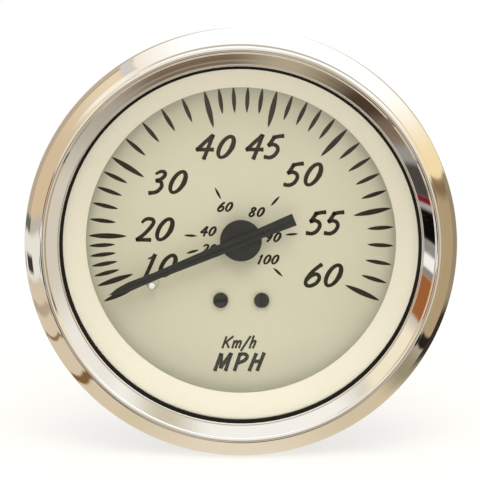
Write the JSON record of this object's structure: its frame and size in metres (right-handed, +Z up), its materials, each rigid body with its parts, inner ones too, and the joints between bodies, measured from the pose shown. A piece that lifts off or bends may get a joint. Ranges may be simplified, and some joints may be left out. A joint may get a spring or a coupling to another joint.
{
  "type": "dash speedometer",
  "caption": "Round panel-mounted boat speedometer: chrome bezel over flat glass, cream dial with brush-stroke marks, pointer driven by a water-pressure tube, rear clamp.",
  "frame": {"origin": "on the dial's axis at the panel seat, the rear face of the panel gasket", "axes": "dial faces -Y, case runs back along +Y, +X to the viewer's right, +Z up"},
  "size_m": [0.1016, 0.0721, 0.1016],
  "materials": {
    "chrome": "polished plating",
    "case_black": "satin black stove enamel",
    "glass": "clear flat glass",
    "black_rubber": "matt black",
    "cream_trim": "satin ivory",
    "dial_cream": "matt cream paint with dark print",
    "screw_black": "blackened",
    "pin_clear": "pale translucent",
    "pointer_charcoal": "matt charcoal paint",
    "movement_brass": "brushed",
    "fitting_brass": "turned, slightly dulled",
    "tube_bronze": "drawn bronze",
    "steel": "zinc plated",
    "fibre": "red-brown fibre",
    "lamp_black": "moulded",
    "lamp_glass": "clear bulb",
    "terminal_brass": "tinned"
  },
  "bodies": {
    "case": {"case_shell": "case_black", "bezel": "chrome", "lens": "glass", "lens_gasket": "black_rubber", "trim_ring": "cream_trim", "panel_gasket": "black_rubber", "dial_plate": "dial_cream", "dial_screws": "screw_black", "stop_pin": "pin_clear", "dial_posts": "movement_brass", "front_plate": "movement_brass", "back_plate": "movement_brass", "plate_pillars": "movement_brass", "pillar_screws": "steel", "socket_block": "fitting_brass", "block_screws": "steel", "inlet_stem": "fitting_brass", "stem_washer": "fibre", "stem_nut": "fitting_brass", "bourdon_tube": "tube_bronze", "hairspring": "steel", "hairspring_stud": "movement_brass", "lamp_holder": "lamp_black", "lamp_bulb": "lamp_glass", "lamp_terminals": "terminal_brass", "mounting_studs": "steel", "stud_nuts": "steel"},
    "pointer": {"pointer_blade": "pointer_charcoal", "pointer_hub": "pointer_charcoal", "pointer_spindle": "steel", "pinion": "movement_brass", "hairspring_collet": "movement_brass"},
    "sector": {"sector_gear": "movement_brass", "sector_arbor": "steel", "sector_pin": "steel"},
    "link": {"connecting_link": "steel"},
    "tube_tip": {"tip_block": "fitting_brass", "tip_pin": "steel"},
    "clamp": {"clamp_bracket": "steel", "lock_washers": "steel"},
    "nut_left": {"thumb_nut_left": "fitting_brass"},
    "nut_right": {"thumb_nut_right": "fitting_brass"}
  },
  "joints": [
    {"name": "pointer_turn", "type": "hinge", "parent": "case", "child": "pointer", "pos_m": [0, 0, 0], "axis": [0, 1, 0], "range_deg": [0, 246], "stiffness_Nm_per_rad": 0.0004, "springref_deg": -85.94, "deforming": ["hairspring"]},
    {"name": "sector_turn", "type": "hinge", "parent": "case", "child": "sector", "pos_m": [0.01842, 0, -0.01129], "axis": [0, 1, 0], "range_deg": [-30.8, 0.05]},
    {"name": "link_swing", "type": "hinge", "parent": "sector", "child": "link", "pos_m": [0.02613, 0, -0.01341], "axis": [0, 1, 0], "range_deg": [-0.05, 31.14]},
    {"name": "tip_flex", "type": "hinge", "parent": "case", "child": "tube_tip", "pos_m": [-0.0085, 0, 0.00778], "axis": [0, 1, 0], "range_deg": [-7.01, 0.05], "deforming": ["bourdon_tube"]},
    {"name": "clamp_slide", "type": "slide", "parent": "case", "child": "clamp", "axis": [0, 1, 0], "range_m": [-0.00278, 0.00953]},
    {"name": "nut_left_turn", "type": "hinge", "parent": "clamp", "child": "nut_left", "pos_m": [-0.026, 0.047, 0], "axis": [0, 1, 0], "range_deg": [-1500, 4560]},
    {"name": "nut_right_turn", "type": "hinge", "parent": "clamp", "child": "nut_right", "pos_m": [0.026, 0.047, 0], "axis": [0, 1, 0], "range_deg": [-1500, 4560]}
  ],
  "couplings": [
    {"joint": "sector_turn", "follows": "pointer_turn", "ratio": -0.125},
    {"joint": "link_swing", "follows": "pointer_turn", "ratio": 0.12638},
    {"joint": "tip_flex", "follows": "pointer_turn", "ratio": -0.028311},
    {"joint": "nut_left_turn", "follows": "clamp_slide", "rad_per_m": 7915.8},
    {"joint": "nut_right_turn", "follows": "clamp_slide", "rad_per_m": 7915.8}
  ]
}
